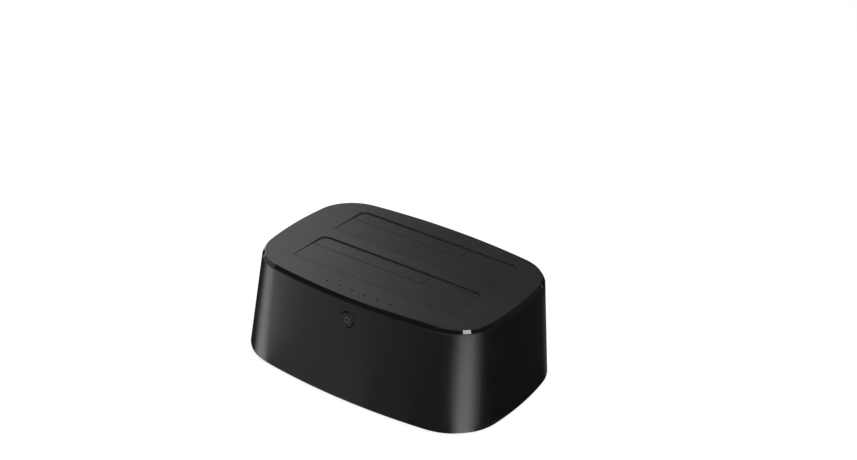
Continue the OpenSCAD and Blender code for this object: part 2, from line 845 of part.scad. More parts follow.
module drive_connector(b) {
    y = bay_front[b] + bay_d - plug_back;
    color([0.08, 0.08, 0.08])
    difference() {
        block([plug_x - plug_w / 2, y - plug_d / 2, board_top],
            [plug_x + plug_w / 2, y + plug_d / 2, plug_top]);
        for (slot = [[slot_x[0], slot_x[1], slot_d / 2], [slot_x[2], slot_x[3], slot_d / 2],
                [slot_x[0], slot_x[0] + slot_d / 2, slot_d], [slot_x[3] - slot_d / 2, slot_x[3], slot_d]])
            block([slot[0], y - slot[2], plug_top - slot_deep], [slot[1], y + slot_d / 2, plug_top + eps]);
    }
}

module front_connector() {
    drive_connector(0);
}

module rear_connector() {
    drive_connector(1);
}

module contact_row(x0, count, y) {
    for (k = [0 : count - 1])
        block([x0 + k * contact_pitch, y + slot_d / 2 - contact_t, plug_top - slot_deep],
            [x0 + k * contact_pitch + contact_w, y + slot_d / 2, plug_top - 0.8]);
}

module connector_contacts() {
    color([0.85, 0.68, 0.3])
    for (b = [0, 1]) {
        y = bay_front[b] + bay_d - plug_back;
        contact_row(slot_x[0] + slot_d * 0.75, 7, y);
        contact_row(slot_x[2] + slot_d * 0.6, 15, y);
    }
}

module bridge_chip() {
    color([0.1, 0.1, 0.1])
    block([-chip_w / 2, bay_back - chip_w, board_z - chip_h], [chip_w / 2, bay_back, board_z]);
}

module capacitors() {
    color([0.7, 0.7, 0.72])
    for (p = [[1, 0], [1, 3.2 * can_r], [-1, 1.3 * can_r]])
        translate([p[0] * (board_w / 2 - 4 * can_r), bay_back + bay_d / 2 - p[1], board_z - can_h])
            cylinder(h = can_h, r = can_r);
}

module inductors() {
    color([0.2, 0.2, 0.21])
    for (x = [-2.3 * choke_w, 2.8 * choke_w])
        block([x - choke_w / 2, bay_back + bay_d / 2 - choke_w, board_z - choke_h],
            [x + choke_w / 2, bay_back + bay_d / 2, board_z]);
}

// front board

module front_board() {
    color([0.06, 0.25, 0.16])
    difference() {
        block([-panel_w / 2, panel_y, panel_z0], [panel_w / 2, panel_y + panel_t, panel_z1]);
        for (x = [-panel_post_x, panel_post_x])
            translate([x, panel_y + panel_t + eps, button_z - 3])
                rotate([90, 0, 0])
                    cylinder(h = panel_t + 2 * eps, r = bolt_r + 0.3);
    }
}

module lamps() {
    color([0.9, 0.9, 0.85])
    for (k = [0 : lamp_count - 1])
        block([lamp_x0 + k * lamp_pitch - lamp_w / 2, lamp_y - 1, panel_z1 - 0.6 - lamp_h],
            [lamp_x0 + k * lamp_pitch + lamp_w / 2, panel_y, panel_z1 - 0.6]);
}

module light_pipe() {
    bar_z0 = panel_z1 + 1.2;
    color([0.8, 0.85, 0.9, 0.6])
    union() {
        block([lamp_x0 - pipe_d, lamp_y - pipe_d / 2, bar_z0],
            [-lamp_x0 + pipe_d, lamp_y + pipe_d / 2, deck_z - 0.6]);
        for (k = [0 : lamp_count - 1])
            translate([lamp_x0 + k * lamp_pitch, lamp_y, 0]) {
                translate([0, 0, panel_z1 - 0.4])
                    cylinder(h = bar_z0 - panel_z1 + 0.4 + eps, r = pipe_d / 2 - 0.2);
                translate([0, 0, deck_z - 1])
                    cylinder(h = deck_t + 0.7, d = lamp_d - 0.2);
            }
    }
}

module button_cap() {
    color([0.06, 0.06, 0.065])
    button_frame() {
        cylinder(h = button_proud, r1 = button_d / 2, r2 = button_d / 2 - button_proud);
        translate([0, 0, -wall_t - 0.6])
            cylinder(h = wall_t + 0.6, d = button_d);
        translate([0, 0, -wall_t - 1.6])
            cylinder(h = 1.1, r = button_d / 2 + button_flange);
        translate([0, 0, -stem_end])
            cylinder(h = stem_end - wall_t - 1, r = stem_r);
    }
}

module tact_switch() {
    color([0.1, 0.1, 0.1])
    difference() {
        block([-tact_w / 2, panel_y - tact_d, button_z - 0.4 - tact_w / 2],
            [tact_w / 2, panel_y, button_z - 0.4 + tact_w / 2]);
        translate([0, panel_y - 0.4, button_z - 0.4])
            rotate([90, 0, 0])
                cylinder(h = tact_d, r = tact_w / 4);
    }
}

module tact_plunger() {
    color([0.85, 0.85, 0.8])
    translate([0, panel_y - 0.4 - button_travel - 0.4, button_z - 0.4])
        rotate([90, 0, 0])
            cylinder(h = tact_d - button_travel, r = tact_w / 4 - 0.3);
}

// ribbon cable between the boards: an upright strip that bows towards the front wall
module ribbon_cable() {
    steps = 12;
    y = panel_y - header_d / 2;
    z0 = board_top + header_h;
    rise = panel_z0 + 1.2 - z0;
    color([0.75, 0.75, 0.78])
    translate([-ribbon_w / 2, 0, 0])
        rotate([90, 0, 90])
            linear_extrude(ribbon_w)
                polygon(concat(
                    [for (k = [0 : steps]) [y - bow(k / steps) - ribbon_t / 2, z0 + rise * k / steps]],
                    [for (k = [steps : -1 : 0]) [y - bow(k / steps) + ribbon_t / 2, z0 + rise * k / steps]]));
}

function bow(s) = ribbon_bow * (1 - cos(360 * s)) / 2;

module cable_headers() {
    w = ribbon_w / 2 + header_d;
    color([0.85, 0.83, 0.76])
    union() {
        block([-w, panel_y - header_d, panel_z0 + 1.2], [w, panel_y, panel_z0 + 1.2 + header_d]);
        block([-w, panel_y - header_d, board_top], [w, panel_y, board_top + header_h]);
    }
}

// ports at the back

module data_port_shell() {
    w = data_w / 2;
    z0 = board_z - data_h;
    color([0.75, 0.75, 0.77])
    difference() {
        block([data_x - w, mouth_y - data_l, z0], [data_x + w, mouth_y, board_z]);
        block([data_x - w + data_t, mouth_y - data_l + data_t, z0 + data_t],
            [data_x + w - data_t, port_y + eps, board_z - data_t]);
    }
}

module data_port_insert() {
    w = data_w / 2 - data_t;
    y0 = mouth_y - data_l + data_t;
    y1 = mouth_y - 0.2;
    z0 = board_z - data_h + data_t;
    z1 = board_z - data_t;
    deep = y1 - data_deep;
    color([0.12, 0.25, 0.6])
    union() {
        difference() {
            block([data_x - w, y0, z0], [data_x + w, y1, z1]);
            block([data_x - w + 1.3, deep, z0 + 0.8], [data_x + w - 1.3, y1 + eps, z0 + 7]);
            block([data_x - w + 2.7, deep, z0 + 6.5], [data_x + w - 2.7, y1 + eps, z1 - 0.8]);
        }
        block([data_x - w + 2.9, deep - eps, z0 + 2.8], [data_x + w - 2.9, y1 - 0.8, z0 + 5]);
    }
}

module power_jack() {
    neck_y = port_y - wall_t - port_gap;
    color([0.07, 0.07, 0.07])
    difference() {
        union() {
            block([jack_x - jack_d / 2 - 1.5, neck_y - jack_l, board_z - data_h],
                [jack_x + jack_d / 2 + 1.5, neck_y, board_z]);
            translate([jack_x, mouth_y, port_z])
                rotate([90, 0, 0])
                    cylinder(h = mouth_y - neck_y + eps, r = jack_d / 2 + jack_t);
        }
        translate([jack_x, mouth_y + eps, port_z])
            rotate([90, 0, 0])
                cylinder(h = jack_deep + eps, d = jack_d);
    }
}

module power_jack_pin() {
    color([0.8, 0.8, 0.82])
    translate([jack_x, mouth_y - 1.2, port_z])
        rotate([90, 0, 0])
            cylinder(h = jack_deep - 1.2, d = jack_pin_d);
}

module switch_frame() {
    rim_w = switch_w + 2 * switch_rim;
    rim_h = switch_h + 2 * switch_rim;
    color([0.07, 0.07, 0.07])
    difference() {
        union() {
            block([switch_x - rim_w / 2, port_y, port_z - rim_h / 2],
                [switch_x + rim_w / 2, port_y + switch_rim, port_z + rim_h / 2]);
            block([switch_x - switch_w / 2, port_y - switch_l, port_z - switch_h / 2],
                [switch_x + switch_w / 2, port_y + eps, port_z + switch_h / 2]);
        }
        block([switch_x - rocker_w / 2, mouth_y - 3, port_z - rocker_h / 2],
            [switch_x + rocker_w / 2, port_y + switch_rim + eps, port_z + rocker_h / 2]);
        translate([switch_x, mouth_y, port_z - rocker_h / 2 - 0.5])
            cylinder(h = rocker_h + 1, r = 0.8);
    }
}

module switch_rocker() {
    tip = rocker_w / 2 - rocker_gap - 0.1;
    color([0.1, 0.1, 0.1])
    translate([switch_x, mouth_y, port_z])
        rotate([0, 0, -rock_half]) {
            translate([0, 0, rocker_gap / 2 - rocker_h / 2])
                linear_extrude(rocker_h - rocker_gap)
                    polygon([[-tip, -1.2], [tip, -1.2], [tip, 2.4], [tip - 0.6, 2.7], [0, 1.8],
                        [0.6 - tip, 2.7], [-tip, 2.4]]);
            translate([0, 0, -rocker_h / 2 - 0.3])
                cylinder(h = rocker_h + 0.6, r = 0.72);
        }
}

// base

module base_plate() {
    inset = wall_t + lean_at(base_top) + base_gap;
    color([0.06, 0.06, 0.06])
    difference() {
        slab(base_z, base_t, inset);
        for (x = [-foot_x, foot_x], y = [-foot_y, foot_y])
            translate([x, y, base_z - eps])
                cylinder(h = foot_sink + eps, r = foot_r + 0.15);
        at_posts() {
            translate([0, 0, base_z - eps])
                cylinder(h = base_t + 2 * eps, r = screw_r + 0.2);
            translate([0, 0, base_z - eps])
                cylinder(h = head_h + 0.2 + eps, r = head_r + 0.3);
        }
        for (k = [0 : vent_count - 1])
            translate([(k - (vent_count - 1) / 2) * vent_pitch, 0, base_z - eps])
                block([-vent_w / 2, -vent_l / 2, 0], [vent_w / 2, vent_l / 2, base_t + 2 * eps]);
    }
}

module rubber_feet() {
    color([0.04, 0.04, 0.04])
    for (x = [-foot_x, foot_x], y = [-foot_y, foot_y])
        translate([x, y, 0]) {
            cylinder(h = foot_bevel, r1 = foot_r - foot_bevel, r2 = foot_r);
            translate([0, 0, foot_bevel])
                cylinder(h = base_z + foot_sink - foot_bevel, r = foot_r);
        }
}

// screws

module screw(shank, r, head, height) {
    difference() {
        union() {
            translate([0, 0, -height])
                cylinder(h = height, r = head);
            translate([0, 0, -eps / 2])
                cylinder(h = shank + eps / 2, r = r);
        }
        for (a = [0, 90])
            rotate([0, 0, a])
                block([-head * 0.6, -0.3, -height - eps], [head * 0.6, 0.3, -height * 0.45]);
    }
}

module case_screws() {
    color([0.5, 0.5, 0.52])
    at_posts()
        translate([0, 0, base_z + head_h + 0.2])
            screw(post_hole - 2, screw_r, head_r, head_h);
}

module cage_screws() {
    color([0.5, 0.5, 0.52])
    at_ears()
        translate([0, 0, ear_z - ear_t])
            screw(ear_t + deck_z - ear_z - 3.2, screw_r, head_r, head_h);
}

module board_screws() {
    color([0.6, 0.6, 0.62])
    union() {
        at_board_screws()
            translate([0, 0, board_z])
                screw(board_t + board_gap + 0.6, bolt_r, bolt_head_r, bolt_head_h);
        for (x = [-panel_post_x, panel_post_x])
            translate([x, panel_y, button_z - 3])
                rotate([-90, 0, 0])
                    screw(panel_t + 1.6, bolt_r, bolt_head_r, bolt_head_h);
    }
}

housing();
trim_ring();
deck();
drive_cage();
front_door();
front_flap();
rear_door();
rear_flap();
door_pins();
flap_pins();
front_door_springs();
front_flap_spring();
rear_door_springs();
rear_flap_spring();
main_board();
front_connector();
rear_connector();
connector_contacts();
bridge_chip();
capacitors();
inductors();
front_board();
lamps();
light_pipe();
button_cap();
tact_switch();
tact_plunger();
ribbon_cable();
cable_headers();
data_port_shell();
data_port_insert();
power_jack();
power_jack_pin();
switch_frame();
switch_rocker();
base_plate();
rubber_feet();
case_screws();
cage_screws();
board_screws();
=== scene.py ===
import math
import bpy
import bmesh
from mathutils import Matrix, Vector


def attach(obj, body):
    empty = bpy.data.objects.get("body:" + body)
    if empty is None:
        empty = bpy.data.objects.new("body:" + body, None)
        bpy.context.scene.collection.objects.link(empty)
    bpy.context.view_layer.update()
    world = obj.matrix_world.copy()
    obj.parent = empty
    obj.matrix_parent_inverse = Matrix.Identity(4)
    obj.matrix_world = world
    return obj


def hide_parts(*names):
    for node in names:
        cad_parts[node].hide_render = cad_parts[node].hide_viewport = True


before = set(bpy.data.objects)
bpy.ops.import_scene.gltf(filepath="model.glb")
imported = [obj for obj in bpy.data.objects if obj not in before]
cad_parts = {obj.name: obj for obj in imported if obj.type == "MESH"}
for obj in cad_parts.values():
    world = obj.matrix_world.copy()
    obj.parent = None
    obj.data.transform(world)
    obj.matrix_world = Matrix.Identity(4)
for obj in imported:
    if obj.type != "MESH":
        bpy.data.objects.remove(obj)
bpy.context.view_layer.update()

# Sizes in millimetres, the same as in the solids.
BODY_W, BODY_D, BODY_H = 160.6, 112.2, 60.0
END_R, SIDE_R, CORNER_R = 196.0, 348.0, 32.0
FOOT_LIFT, WALL_LEAN, WALL_T = 1.3, 6.0, 2.4
HEM_H, HEM_W = 1.2, 0.8
RIM_LIP, RIM_STEP = 1.2, 1.2
BEVEL_H, BEVEL_W = 2.2, 1.45
TRIM_LAND, TRIM_LEDGE, TRIM_SPIGOT, TRIM_GAP = 0.4, 1.6, 3.0, 0.15
DECK_T = 1.2
LAMP_D, LAMP_PITCH, LAMP_COUNT, LAMP_BACK = 1.3, 8.0, 6, 7.05
BAY_W, BAY_D, BAY_PITCH, BAY_BACK, BAY_CORNER_R = 103.0, 28.0, 37.5, 2.6, 4.0
EAR_X, EAR_Y, EAR_Z, EAR_R, BOSS_BORE = 58.2, (-11.4, 16.6), 50.5, 2.6, 1.25
LEAF_T, LEAF_GAP, STOP_GAP, TUCK_STEP = 1.8, 0.3, 0.3, 0.8
FLAP_W, FLAP_D = 71.4, 10.3
DOOR_BACK, DOOR_DEEP, ARM_T, KNUCKLE_W, KNUCKLE_INSET = 3.0, 3.7, 1.6, 12.0, 1.0
TIP_INSET, TIP_REACH = 6.0, 0.7
FLAP_TUCK, FLAP_DEEP = 2.45, 1.95
BARREL_R, BARREL_BORE = 1.1, 0.65
SPRING_X, SPRING_ROOM, SPRING_POCKET = -17.5, 7.0, 1.62
TAB_W, TAB_L = 1.0, 3.5
BUTTON_D, BUTTON_DROP, BUTTON_GAP, BUTTON_PROUD = 8.4, 11.9, 0.3, 0.3
BUTTON_FLANGE, FLANGE_TOP, FLANGE_END, STEM_R, STEM_END = 1.0, 0.5, 1.6, 1.5, 8.57
PORT_Y, PORT_Z, PORT_FACE_W, PORT_FACE_H, PORT_GAP = 52.4, 13.2, 72.0, 13.2, 0.3
BASE_TOP = 3.7
DATA_X, DATA_W, DATA_H = 8.0, 12.0, 11.4
JACK_X, JACK_R = 27.0, 4.3
SWITCH_X, SWITCH_W, SWITCH_H = -20.0, 13.0, 8.6

# Sizes in millimetres that only this scene uses: roundings, broken edges, seams, overlaps and print.
SOFT_EDGE, WELD_IN, WALL_STEP = 0.1, 0.5, 6.0
OVERCUT, CAVITY_OVERCUT, PORT_CUT = 1.0, 0.5, 4.0
HEM_TUCK, LIP_R, PORT_FACE_R, DATA_R = 0.1, 0.3, 1.2, 0.4
TRIM_ROUNDS = [0.3, 0.25, 0.08, 0, 0.1, 0.2, 0.2, 0, 0.1, 0]
BAY_RADII, LEAD_IN, LEAD_SIDE, PINHOLE_BREAK = [0.3, 0.3, BAY_CORNER_R, BAY_CORNER_R], 0.45, 0.05, 0.04
DOOR_SEAM, LEAF_R, TIP_R, BARREL_BREAK = 0.1, 0.3, 0.2, 0.1
ARM_IN, ARM_ROUNDS = 0.1, [0, 0.5, 0, 0, 0.4, 0]
TAIL_INSET, TAIL_THIN = 0.1, 0.05
TAB_START, TAB_IN, TAB_THIN, TAB_EDGE = 0.5, 0.3, 0.1, 0.15
BORE_BREAK, BORE_LOW, BORE_HIGH, BORE_DEEP, BORE_END = 0.15, -0.12, 0.03, 5.0, 2.0
CAP_RIM, CAP_SHRINK, STEM_BREAK = 0.5, 0.08, 0.2
DISH_LOW, DISH_RISE, DISH_START, DISH_END = 0.06, 0.05, 1.4, 0.7
SIGN_R, SIGN_LINE, SIGN_T, SIGN_SINK = 1.75, 0.45, 0.02, 0.055
BAR_W, BAR_LOW, BAR_HIGH = 0.44, 0.55, 2.1

# Millimetres to metres, angles in degrees, a share, and two distances in metres.
MM = 0.001
EDGE_ANGLE, SHARP_ANGLE, TRIM_SHARP_ANGLE = 40, 35, 50
SIGN_FROM, SIGN_SWEEP, SIGN_STEPS = 125, 290, 40
GRAIN_SHARE, LINE_DEPTH, JOIN_DISTANCE = 0.45, 0.000004, 0.000002

RIM_Z = BODY_H - BEVEL_H
DECK_Z = BODY_H - DECK_T
LEAN = WALL_LEAN / (RIM_Z - FOOT_LIFT)
WALL_TILT = math.atan(LEAN)
DECK_EDGE = WALL_LEAN + BEVEL_W
TRIM_INNER = DECK_EDGE + TRIM_LAND
LEAF_RUN = BAY_D - LEAF_GAP
SLOPE = math.atan((DECK_T + STOP_GAP - TUCK_STEP) / LEAF_RUN)
FLAP_AXIS_U = LEAF_RUN + FLAP_TUCK
SPLIT_U = LEAF_RUN - FLAP_D
FLAP_LEFT = LEAF_GAP - BAY_W / 2
FLAP_RIGHT = FLAP_LEFT + FLAP_W
DOOR_TIP_U = LEAF_RUN + TIP_REACH
BAY_FRONT = [BAY_BACK - BAY_PITCH / 2 - BAY_D / 2, BAY_BACK + BAY_PITCH / 2 - BAY_D / 2]


def lean_at(z):
    """How far the wall leans in at a height."""
    return (z - FOOT_LIFT) * LEAN


BUTTON_Z = BODY_H - BUTTON_DROP
BUTTON_Y = lean_at(BUTTON_Z) - BODY_D / 2


# Plan of the housing: end, corner and side arcs that meet tangentially. The corner arc's centre lies where
# two circles round the other centres cross, each smaller than its own arc by the corner's radius.
END_C = Vector((BODY_W / 2 - END_R, 0))
SIDE_C = Vector((0, BODY_D / 2 - SIDE_R))
CENTRE_GAP = (SIDE_C - END_C).length
ALONG = ((END_R - CORNER_R) ** 2 - (SIDE_R - CORNER_R) ** 2 + CENTRE_GAP * CENTRE_GAP) / (2 * CENTRE_GAP)
ASIDE = math.sqrt((END_R - CORNER_R) ** 2 - ALONG * ALONG)
TOWARDS = (SIDE_C - END_C) / CENTRE_GAP
CORNER_C = END_C + TOWARDS * ALONG + Vector((-TOWARDS.y, TOWARDS.x)) * ASIDE
END_TURN = math.atan2(CORNER_C.y - END_C.y, CORNER_C.x - END_C.x)
SIDE_TURN = math.atan2(CORNER_C.y - SIDE_C.y, CORNER_C.x - SIDE_C.x)


def plan(inset):
    """Outline of the housing, drawn in by the inset, anticlockwise from the middle of the right end."""
    def arc(centre, radius, start, end, steps):
        turns = [start + (end - start) * k / steps for k in range(steps)]
        r = radius - inset
        return [(centre.x + r * math.cos(t), centre.y + r * math.sin(t)) for t in turns]

    quarter = arc(END_C, END_R, 0, END_TURN, 8) + arc(CORNER_C, CORNER_R, END_TURN, SIDE_TURN, 36)
    quarter += arc(SIDE_C, SIDE_R, SIDE_TURN, math.pi / 2, 20)
    top = (0.0, BODY_D / 2 - inset)
    back_left = [top] + [(-x, y) for x, y in reversed(quarter[1:])]
    half = quarter + back_left
    return half + [(-x, -y) for x, y in half]


# Mesh makers. Pieces are made in millimetres and brought to metres when they are fitted.
def piece_from(bm, name):
    bmesh.ops.recalc_face_normals(bm, faces=bm.faces)
    mesh = bpy.data.meshes.new(name)
    bm.to_mesh(mesh)
    bm.free()
    piece = bpy.data.objects.new(name, mesh)
    bpy.context.scene.collection.objects.link(piece)
    return piece


def fillet(corners, radius, steps=5):
    """Closed outline with each corner rounded; radius is one value or one per corner."""
    outline = []
    for i, corner in enumerate(corners):
        r = radius[i] if isinstance(radius, (list, tuple)) else radius
        p = Vector(corner)
        if r <= 0:
            outline.append((p.x, p.y))
            continue
        u = (Vector(corners[i - 1]) - p).normalized()
        v = (Vector(corners[(i + 1) % len(corners)]) - p).normalized()
        half = u.angle(v) / 2
        centre = p + (u + v).normalized() * (r / math.sin(half))
        start = p + u * (r / math.tan(half)) - centre
        end = p + v * (r / math.tan(half)) - centre
        t0 = math.atan2(start.y, start.x)
        turn = (math.atan2(end.y, end.x) - t0 + math.pi) % (2 * math.pi) - math.pi
        for k in range(steps + 1):
            t = t0 + turn * k / steps
            outline.append((centre.x + r * math.cos(t), centre.y + r * math.sin(t)))
    return outline


def walls_between(bm, rings):
    """Faces between each ring of points and the next one."""
    for low, high in zip(rings, rings[1:]):
        for i in range(len(low)):
            k = (i + 1) % len(low)
            bm.faces.new((low[i], low[k], high[k], high[i]))


def ring_shell(name, profile):
    """Closed band round the plan; the profile is a closed list of (inset, height)."""
    bm = bmesh.new()
    rings = [[bm.verts.new((x, y, z)) for x, y in plan(inset)] for inset, z in profile]
    walls_between(bm, rings + rings[:1])
    return piece_from(bm, name)


def stacked(name, layers, place=None):
    """Solid through outlines with as many points each, listed as (outline, height) from the bottom."""
    bm = bmesh.new()
    rings = [[bm.verts.new((x, y, z)) for x, y in outline] for outline, z in layers]
    walls_between(bm, rings)
    bm.faces.new(list(reversed(rings[0])))
    bm.faces.new(rings[-1])
    if place is not None:
        bm.transform(place)
    return piece_from(bm, name)


def plan_solid(name, profile):
    """Solid of stacked plans; the profile is an open list of (inset, height)."""
    return stacked(name, [(plan(inset), z) for inset, z in profile])


def prism(name, outline, low, high, place=None):
    """Solid of an outline, drawn out along local Z from low to high."""
    return stacked(name, [(outline, low), (outline, high)], place)


def turned(name, profile, place=None, steps=48, closed=False):
    """Turned solid round local Z; the profile is a list of (radius, height)."""
    bm = bmesh.new()
    rings = []
    for r, z in profile:
        if r < 1e-6:
            rings.append([bm.verts.new((0, 0, z))])
        else:
            turns = [2 * math.pi * k / steps for k in range(steps)]
            rings.append([bm.verts.new((r * math.cos(t), r * math.sin(t), z)) for t in turns])
    pairs = list(zip(rings, rings[1:])) + ([(rings[-1], rings[0])] if closed else [])
    for low, high in pairs:
        for i in range(steps):
            k = (i + 1) % steps
            if len(low) == 1:
                bm.faces.new((low[0], high[k], high[i]))
            elif len(high) == 1:
                bm.faces.new((low[i], low[k], high[0]))
            else:
                bm.faces.new((low[i], low[k], high[k], high[i]))
    if place is not None:
        bm.transform(place)
    return piece_from(bm, name)


def box_outline(x0, y0, x1, y1):
    return [(x0, y0), (x1, y0), (x1, y1), (x0, y1)]


def bake(piece):
    """Turns a piece's modifiers into its mesh."""
    solved = piece.evaluated_get(bpy.context.evaluated_depsgraph_get())
    mesh = bpy.data.meshes.new_from_object(solved)
    old = piece.data
    piece.modifiers.clear()
    piece.data = mesh
    bpy.data.meshes.remove(old)
    mesh.name = piece.name


def carve(piece, *tools):
    """Cuts tools out of a piece and removes them."""
    for tool in tools:
        cut = piece.modifiers.new("carve", "BOOLEAN")
        cut.operation = "DIFFERENCE"
        cut.solver = "EXACT"
        cut.object = tool
    bake(piece)
    for tool in tools:
        mesh = tool.data
        bpy.data.objects.remove(tool)
        bpy.data.meshes.remove(mesh)


def soften(piece, width, steps=2):
    """Rounds the sharp edges of a piece."""
    edge = piece.modifiers.new("soften", "BEVEL")
    edge.width = width
    edge.segments = steps
    edge.limit_method = "ANGLE"
    edge.angle_limit = math.radians(EDGE_ANGLE)
    edge.use_clamp_overlap = True
    bake(piece)


def weld_into(piece, *others):
    """Adds other pieces' meshes to a piece."""
    bm = bmesh.new()
    bm.from_mesh(piece.data)
    for other in others:
        bm.from_mesh(other.data)
        mesh = other.data
        bpy.data.objects.remove(other)
        bpy.data.meshes.remove(mesh)
    bm.to_mesh(piece.data)
    bm.free()


def fit(piece, body, slot, material, *nodes, angle=SHARP_ANGLE):
    """Brings a finished piece to metres, shades it and fixes it to its body."""
    piece.data.transform(Matrix.Scale(MM, 4))
    piece.data.shade_smooth()
    piece.data.set_sharp_from_angle(angle=math.radians(angle))
    faces = piece.modifiers.new("even faces", "WEIGHTED_NORMAL")
    faces.keep_sharp = True
    faces.weight = 60
    piece.data.materials.clear()
    piece.data.materials.append(material)
    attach(piece, body)
    if nodes:
        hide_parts(*nodes)


# Shader groups.
def new_group(name, inputs):
    """Shader group with inputs of the given values and outputs for colour, roughness and normal."""
    tree = bpy.data.node_groups.new(name, "ShaderNodeTree")
    for socket, value in inputs.items():
        kind = "NodeSocketColor" if isinstance(value, tuple) else "NodeSocketFloat"
        tree.interface.new_socket(name=socket, in_out="INPUT", socket_type=kind).default_value = value
    tree.interface.new_socket(name="Color", in_out="OUTPUT", socket_type="NodeSocketColor")
    tree.interface.new_socket(name="Roughness", in_out="OUTPUT", socket_type="NodeSocketFloat")
    tree.interface.new_socket(name="Normal", in_out="OUTPUT", socket_type="NodeSocketVector")
    return tree


def link_surface(tree, given, tint_by, gloss_by, relief_by):
    """Mixes a group's colours and its gloss by one value each, and raises its relief by another."""
    n, link = tree.nodes, tree.links.new
    result = n.new("NodeGroupOutput")
    tint = n.new("ShaderNodeMix")
    tint.data_type = "RGBA"
    link(tint_by, tint.inputs["Factor"])
    link(given.outputs["Dark"], tint.inputs["A"])
    link(given.outputs["Light"], tint.inputs["B"])
    gloss = n.new("ShaderNodeMix")
    link(gloss_by, gloss.inputs["Factor"])
    link(given.outputs["Smooth"], gloss.inputs["A"])
    link(given.outputs["Rough"], gloss.inputs["B"])
    bump = n.new("ShaderNodeBump")
    bump.inputs["Strength"].default_value = 1.0
    link(relief_by, bump.inputs["Height"])
    link(given.outputs["Depth"], bump.inputs["Distance"])
    link(tint.outputs["Result"], result.inputs["Color"])
    link(gloss.outputs["Result"], result.inputs["Roughness"])
    link(bump.outputs["Normal"], result.inputs["Normal"])


def moulded_grain_group():
    """Fine spark-eroded grain of a moulding, with slow changes of colour and gloss."""
    tree = new_group("moulded_grain", {"Dark": (0.01, 0.01, 0.01, 1), "Light": (0.02, 0.02, 0.02, 1),
                                       "Smooth": 0.3, "Rough": 0.4, "Grain": 3000.0, "Depth": 0.00001,
                                       "Cloud": 45.0})
    n, link = tree.nodes, tree.links.new
    given = n.new("NodeGroupInput")
    place = n.new("ShaderNodeTexCoord")
    grain = n.new("ShaderNodeTexNoise")
    grain.inputs["Detail"].default_value = 3.0
    link(place.outputs["Object"], grain.inputs["Vector"])
    link(given.outputs["Grain"], grain.inputs["Scale"])
    cloud = n.new("ShaderNodeTexNoise")
    cloud.inputs["Detail"].default_value = 4.0
    link(place.outputs["Object"], cloud.inputs["Vector"])
    link(given.outputs["Cloud"], cloud.inputs["Scale"])
    both = n.new("ShaderNodeMath")
    both.operation = "MULTIPLY_ADD"
    both.inputs[1].default_value = GRAIN_SHARE
    link(grain.outputs["Fac"], both.inputs[0])
    share = n.new("ShaderNodeMath")
    share.operation = "MULTIPLY"
    share.inputs[1].default_value = 1 - GRAIN_SHARE
    link(cloud.outputs["Fac"], share.inputs[0])
    link(share.outputs[0], both.inputs[2])
    spread = n.new("ShaderNodeMapRange")
    spread.inputs["From Min"].default_value = 0.3
    spread.inputs["From Max"].default_value = 0.7
    link(both.outputs[0], spread.inputs["Value"])
    link_surface(tree, given, spread.outputs["Result"], spread.outputs["Result"], grain.outputs["Fac"])
    return tree


def drawn_metal_group():
    """Drawing lines along X on sheet and wire, with slight staining."""
    tree = new_group("drawn_metal", {"Dark": (0.4, 0.4, 0.4, 1), "Light": (0.7, 0.7, 0.7, 1),
                                     "Smooth": 0.2, "Rough": 0.4, "Depth": LINE_DEPTH})
    n, link = tree.nodes, tree.links.new
    given = n.new("NodeGroupInput")
    place = n.new("ShaderNodeTexCoord")
    stretch = n.new("ShaderNodeMapping")
    stretch.inputs["Scale"].default_value = (0.04, 1.0, 1.0)
    link(place.outputs["Object"], stretch.inputs["Vector"])
    lines = n.new("ShaderNodeTexNoise")
    lines.inputs["Scale"].default_value = 6000.0
    lines.inputs["Detail"].default_value = 2.0
    link(stretch.outputs["Vector"], lines.inputs["Vector"])
    stain = n.new("ShaderNodeTexNoise")
    stain.inputs["Scale"].default_value = 220.0
    link(place.outputs["Object"], stain.inputs["Vector"])
    link_surface(tree, given, lines.outputs["Fac"], stain.outputs["Fac"], lines.outputs["Fac"])
    return tree


GRAIN = moulded_grain_group()
DRAWN = drawn_metal_group()


def finish_with(name, group, values, specular=0.5, metallic=0.0, clear=0.0):
    """Material whose colour, gloss and relief come from a group with its own values."""
    material = bpy.data.materials.new(name)
    material.use_nodes = True
    tree = material.node_tree
    shader = tree.nodes["Principled BSDF"]
    shader.inputs["Specular IOR Level"].default_value = specular
    shader.inputs["Metallic"].default_value = metallic
    shader.inputs["Transmission Weight"].default_value = clear
    surface = tree.nodes.new("ShaderNodeGroup")
    surface.node_tree = group
    for socket, value in values.items():
        surface.inputs[socket].default_value = value
    tree.links.new(surface.outputs["Color"], shader.inputs["Base Color"])
    tree.links.new(surface.outputs["Roughness"], shader.inputs["Roughness"])
    tree.links.new(surface.outputs["Normal"], shader.inputs["Normal"])
    return material


def moulding(name, dark, light, smooth, rough, grain, depth, cloud=45.0, **more):
    values = {"Dark": (*dark, 1), "Light": (*light, 1), "Smooth": smooth, "Rough": rough, "Grain": grain,
              "Depth": depth, "Cloud": cloud}
    return finish_with(name, GRAIN, values, **more)


def metal(name, dark, light, smooth, rough):
    values = {"Dark": (*dark, 1), "Light": (*light, 1), "Smooth": smooth, "Rough": rough}
    return finish_with(name, DRAWN, values, metallic=1.0)


